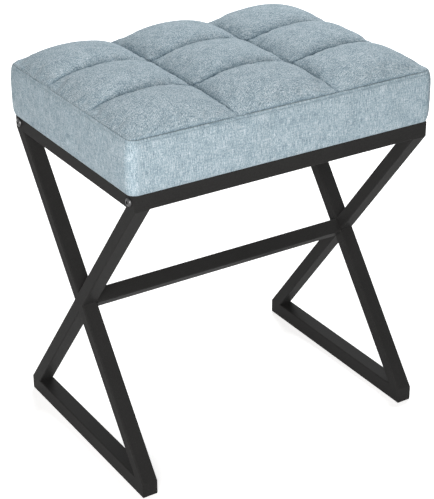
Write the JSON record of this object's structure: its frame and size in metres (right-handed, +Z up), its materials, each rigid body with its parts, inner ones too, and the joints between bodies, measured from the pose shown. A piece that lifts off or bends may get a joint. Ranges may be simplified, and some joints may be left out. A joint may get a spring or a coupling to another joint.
{
  "type": "vanity stool",
  "caption": "Upholstered vanity stool: a biscuit-tufted rectangular seat on a square-tube steel frame with crossed legs and a stretcher.",
  "frame": {"origin": "on the floor, under the middle of the stool", "axes": "+X along the longer side of the seat, +Y from the front to the back, +Z up"},
  "size_m": [0.4132, 0.2974, 0.4792],
  "materials": {
    "frame_powder_coat": "fine satin black powder coat",
    "black_oxide_bolts": "black oxide, slightly worn on the rims",
    "bare_steel": "zinc plated",
    "staple_wire": "galvanised wire",
    "plywood": "raw birch plywood",
    "foam": "open-cell polyurethane foam",
    "seat_fabric": "heathered blue-grey linen weave",
    "dust_cloth": "black non-woven cloth"
  },
  "bodies": {
    "root": {"left_top_rail": "frame_powder_coat", "left_floor_rail": "frame_powder_coat", "left_end_plates": "frame_powder_coat", "left_long_leg": "frame_powder_coat", "left_upper_half_leg": "frame_powder_coat", "left_lower_half_leg": "frame_powder_coat", "left_stretcher_spigot": "frame_powder_coat", "right_top_rail": "frame_powder_coat", "right_floor_rail": "frame_powder_coat", "right_end_plates": "frame_powder_coat", "right_long_leg": "frame_powder_coat", "right_upper_half_leg": "frame_powder_coat", "right_lower_half_leg": "frame_powder_coat", "right_stretcher_spigot": "frame_powder_coat", "front_rail": "frame_powder_coat", "back_rail": "frame_powder_coat", "stretcher": "frame_powder_coat", "rail_nut_plates": "bare_steel", "corner_bolts": "black_oxide_bolts", "seat_bolts": "black_oxide_bolts", "seat_tee_nuts": "bare_steel", "cover_staples": "staple_wire", "seat_board": "plywood", "seat_foam": "foam", "cover_side_band": "seat_fabric", "tufted_top_panel": "seat_fabric", "dust_cover": "dust_cloth"}
  },
  "joints": []
}
